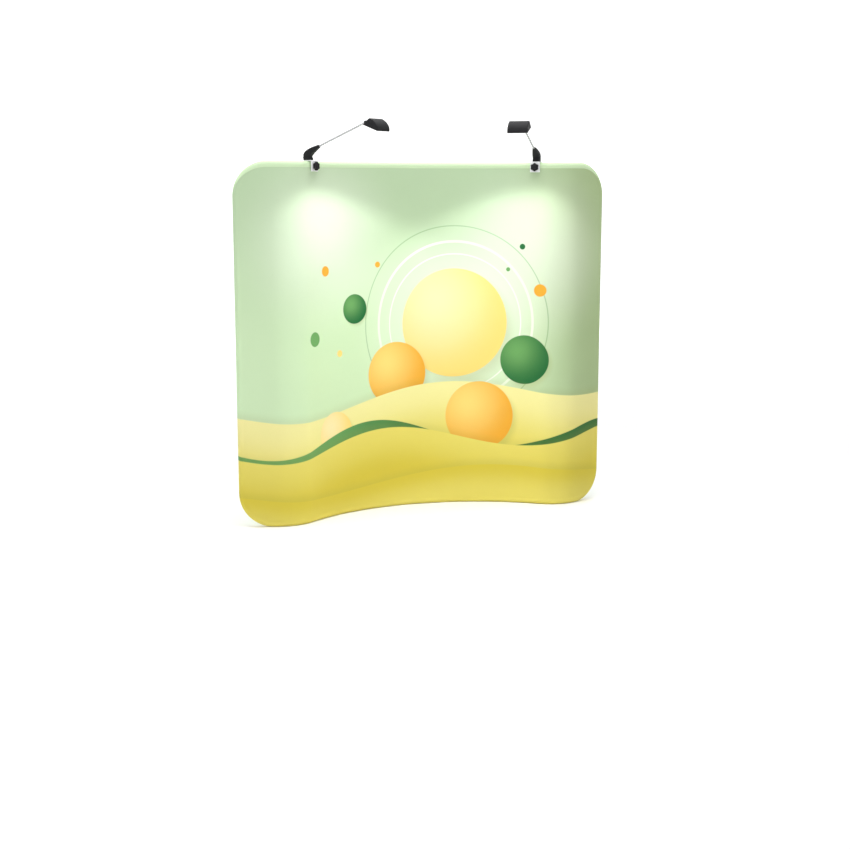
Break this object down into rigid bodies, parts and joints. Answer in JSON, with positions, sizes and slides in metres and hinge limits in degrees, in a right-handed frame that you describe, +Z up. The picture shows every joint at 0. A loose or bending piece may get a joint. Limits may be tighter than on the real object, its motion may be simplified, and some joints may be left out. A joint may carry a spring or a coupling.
{
  "type": "tabletop tension fabric display",
  "caption": "Curved tabletop tension fabric display: a tube frame in a zipped, printed stretch cover, with two clamp-on arm lamps on its top edge.",
  "frame": {"origin": "middle of the flat strip on the bottom edge, where the cover stands on the table", "axes": "+X to the right along the width, +Y to the back, +Z up; the viewer stands at -Y"},
  "size_m": [1.8338, 0.5622, 1.8498],
  "materials": {
    "aluminium_tube": "satin mill finish",
    "black_nylon": "moulded, fine grain",
    "spring_steel": "plain",
    "printed_fabric": "knitted polyester, printed in pale green, yellow, amber and deep green",
    "zip_tape_white": "woven tape with a nylon coil",
    "zip_metal": "plated",
    "white_powder_coat": "white powder coat",
    "black_moulding": "satin black",
    "plated_steel": "satin chrome",
    "grey_rubber": "matt",
    "frosted_lens": "frosted",
    "led_tray_white": "white"
  },
  "bodies": {
    "display": {"bottom_tee": "black_nylon", "bottom_tube_left": "aluminium_tube", "bottom_tube_right": "aluminium_tube", "centre_pole_lower": "aluminium_tube", "centre_pole_upper": "aluminium_tube", "clamp_bracket_left": "white_powder_coat", "clamp_bracket_right": "white_powder_coat", "corner_tube_lower_left": "aluminium_tube", "corner_tube_lower_right": "aluminium_tube", "corner_tube_upper_left": "aluminium_tube", "corner_tube_upper_right": "aluminium_tube", "fabric_cover": "printed_fabric", "side_upright_left": "aluminium_tube", "side_upright_right": "aluminium_tube", "swivel_stud_left": "plated_steel", "swivel_stud_right": "plated_steel", "top_tee": "black_nylon", "top_tube_left": "aluminium_tube", "top_tube_right": "aluminium_tube", "zip_tape": "zip_tape_white"},
    "snap_button_top_tee_side": {"snap_button_top_tee_side": "spring_steel"},
    "snap_button_top_tee_pole": {"snap_button_top_tee_pole": "spring_steel"},
    "snap_button_top_left": {"snap_button_top_left": "spring_steel"},
    "snap_button_upper_upright_left": {"snap_button_upper_upright_left": "spring_steel"},
    "snap_button_top_right": {"snap_button_top_right": "spring_steel"},
    "snap_button_upper_upright_right": {"snap_button_upper_upright_right": "spring_steel"},
    "snap_button_bottom_tee_side": {"snap_button_bottom_tee_side": "spring_steel"},
    "snap_button_bottom_tee_pole": {"snap_button_bottom_tee_pole": "spring_steel"},
    "snap_button_bottom_left": {"snap_button_bottom_left": "spring_steel"},
    "snap_button_lower_upright_left": {"snap_button_lower_upright_left": "spring_steel"},
    "snap_button_bottom_right": {"snap_button_bottom_right": "spring_steel"},
    "snap_button_lower_upright_right": {"snap_button_lower_upright_right": "spring_steel"},
    "zip_slider": {"zip_slider": "zip_metal"},
    "zip_pull": {"zip_pull": "zip_metal"},
    "clamp_pad_left": {"clamp_pad_left": "grey_rubber"},
    "clamp_knob_left": {"clamp_knob_left": "black_moulding", "clamp_screw_left": "plated_steel"},
    "lamp_arm_left": {"lamp_elbow_left": "black_moulding", "cable_gland_left": "black_moulding", "lamp_arm_left": "plated_steel"},
    "lamp_head_left": {"head_housing_left": "black_moulding", "head_lens_left": "frosted_lens", "led_tray_left": "led_tray_white", "head_pin_left": "plated_steel"},
    "clamp_pad_right": {"clamp_pad_right": "grey_rubber"},
    "clamp_knob_right": {"clamp_knob_right": "black_moulding", "clamp_screw_right": "plated_steel"},
    "lamp_arm_right": {"lamp_elbow_right": "black_moulding", "cable_gland_right": "black_moulding", "lamp_arm_right": "plated_steel"},
    "lamp_head_right": {"head_housing_right": "black_moulding", "head_lens_right": "frosted_lens", "led_tray_right": "led_tray_white", "head_pin_right": "plated_steel"}
  },
  "joints": [
    {"name": "press_top_tee_side", "type": "hinge", "parent": "display", "child": "snap_button_top_tee_side", "pos_m": [0.05995, -0.00254, 1.64018], "axis": [0.0644, 0.9979, 0], "range_deg": [0, 6.8], "stiffness_Nm_per_rad": 5},
    {"name": "press_top_tee_pole", "type": "hinge", "parent": "display", "child": "snap_button_top_tee_pole", "pos_m": [0.01224, -0.00052, 1.58042], "axis": [-0.0131, -0.9999, 0], "range_deg": [0, 6.8], "stiffness_Nm_per_rad": 5},
    {"name": "press_top_left", "type": "hinge", "parent": "display", "child": "snap_button_top_left", "pos_m": [-0.55179, -0.18193, 1.64018], "axis": [-0.5577, 0.8301, 0], "range_deg": [0, 6.8], "stiffness_Nm_per_rad": 5},
    {"name": "press_upper_upright_left", "type": "hinge", "parent": "display", "child": "snap_button_upper_upright_left", "pos_m": [-0.88816, -0.18153, 1.47342], "axis": [0.3509, 0.9364, 0], "range_deg": [0, 6.8], "stiffness_Nm_per_rad": 5},
    {"name": "press_top_right", "type": "hinge", "parent": "display", "child": "snap_button_top_right", "pos_m": [0.55179, -0.18193, 1.64018], "axis": [-0.5577, -0.8301, 0], "range_deg": [0, 6.8], "stiffness_Nm_per_rad": 5},
    {"name": "press_upper_upright_right", "type": "hinge", "parent": "display", "child": "snap_button_upper_upright_right", "pos_m": [0.88816, -0.18153, 1.47342], "axis": [0.3509, -0.9364, 0], "range_deg": [0, 6.8], "stiffness_Nm_per_rad": 5},
    {"name": "press_bottom_tee_side", "type": "hinge", "parent": "display", "child": "snap_button_bottom_tee_side", "pos_m": [0.05995, -0.00254, 0.02932], "axis": [-0.0644, -0.9979, 0], "range_deg": [0, 6.8], "stiffness_Nm_per_rad": 5},
    {"name": "press_bottom_tee_pole", "type": "hinge", "parent": "display", "child": "snap_button_bottom_tee_pole", "pos_m": [0.01224, -0.00052, 0.08908], "axis": [0.0131, 0.9999, 0], "range_deg": [0, 6.8], "stiffness_Nm_per_rad": 5},
    {"name": "press_bottom_left", "type": "hinge", "parent": "display", "child": "snap_button_bottom_left", "pos_m": [-0.55179, -0.18193, 0.02932], "axis": [0.5577, -0.8301, 0], "range_deg": [0, 6.8], "stiffness_Nm_per_rad": 5},
    {"name": "press_lower_upright_left", "type": "hinge", "parent": "display", "child": "snap_button_lower_upright_left", "pos_m": [-0.88816, -0.18153, 0.19607], "axis": [-0.3509, -0.9364, 0], "range_deg": [0, 6.8], "stiffness_Nm_per_rad": 5},
    {"name": "press_bottom_right", "type": "hinge", "parent": "display", "child": "snap_button_bottom_right", "pos_m": [0.55179, -0.18193, 0.02932], "axis": [0.5577, 0.8301, 0], "range_deg": [0, 6.8], "stiffness_Nm_per_rad": 5},
    {"name": "press_lower_upright_right", "type": "hinge", "parent": "display", "child": "snap_button_lower_upright_right", "pos_m": [0.88816, -0.18153, 0.19607], "axis": [-0.3509, 0.9364, 0], "range_deg": [0, 6.8], "stiffness_Nm_per_rad": 5},
    {"name": "zip_slider_travel", "type": "hinge", "parent": "display", "child": "zip_slider", "pos_m": [0, -0.932, 0.062], "axis": [0, 0, -1], "range_deg": [0, 67.9]},
    {"name": "zip_pull_swing", "type": "hinge", "parent": "zip_slider", "child": "zip_pull", "pos_m": [-0.53416, -0.13858, 0.062], "axis": [0.8295, 0.5585, 0], "range_deg": [-8, 185]},
    {"name": "clamp_pad_slide_left", "type": "slide", "parent": "display", "child": "clamp_pad_left", "axis": [0.5931, -0.8052, 0], "range_m": [0, 0.0017]},
    {"name": "clamp_knob_turn_left", "type": "hinge", "parent": "clamp_pad_left", "child": "clamp_knob_left", "pos_m": [-0.542, -0.20872, 1.64742], "axis": [0.5931, -0.8052, 0], "range_deg": [0, 489]},
    {"name": "lamp_swivel_left", "type": "hinge", "parent": "display", "child": "lamp_arm_left", "pos_m": [-0.56416, -0.17863, 1.6741], "axis": [0, 0, 1], "range_deg": [-90, 90]},
    {"name": "lamp_head_tilt_left", "type": "hinge", "parent": "lamp_arm_left", "child": "lamp_head_left", "pos_m": [-0.37141, -0.4403, 1.83442], "axis": [0.8052, 0.5931, 0], "range_deg": [-45, 60]},
    {"name": "clamp_pad_slide_right", "type": "slide", "parent": "display", "child": "clamp_pad_right", "axis": [-0.5931, -0.8052, 0], "range_m": [0, 0.0017]},
    {"name": "clamp_knob_turn_right", "type": "hinge", "parent": "clamp_pad_right", "child": "clamp_knob_right", "pos_m": [0.542, -0.20872, 1.64742], "axis": [-0.5931, -0.8052, 0], "range_deg": [0, 489]},
    {"name": "lamp_swivel_right", "type": "hinge", "parent": "display", "child": "lamp_arm_right", "pos_m": [0.56416, -0.17863, 1.6741], "axis": [0, 0, 1], "range_deg": [-90, 90]},
    {"name": "lamp_head_tilt_right", "type": "hinge", "parent": "lamp_arm_right", "child": "lamp_head_right", "pos_m": [0.37141, -0.4403, 1.83442], "axis": [0.8052, -0.5931, 0], "range_deg": [-45, 60]}
  ],
  "couplings": [
    {"joint": "clamp_pad_slide_left", "follows": "clamp_knob_turn_left", "m_per_rad": 0.00019894},
    {"joint": "clamp_pad_slide_right", "follows": "clamp_knob_turn_right", "m_per_rad": 0.00019894}
  ]
}
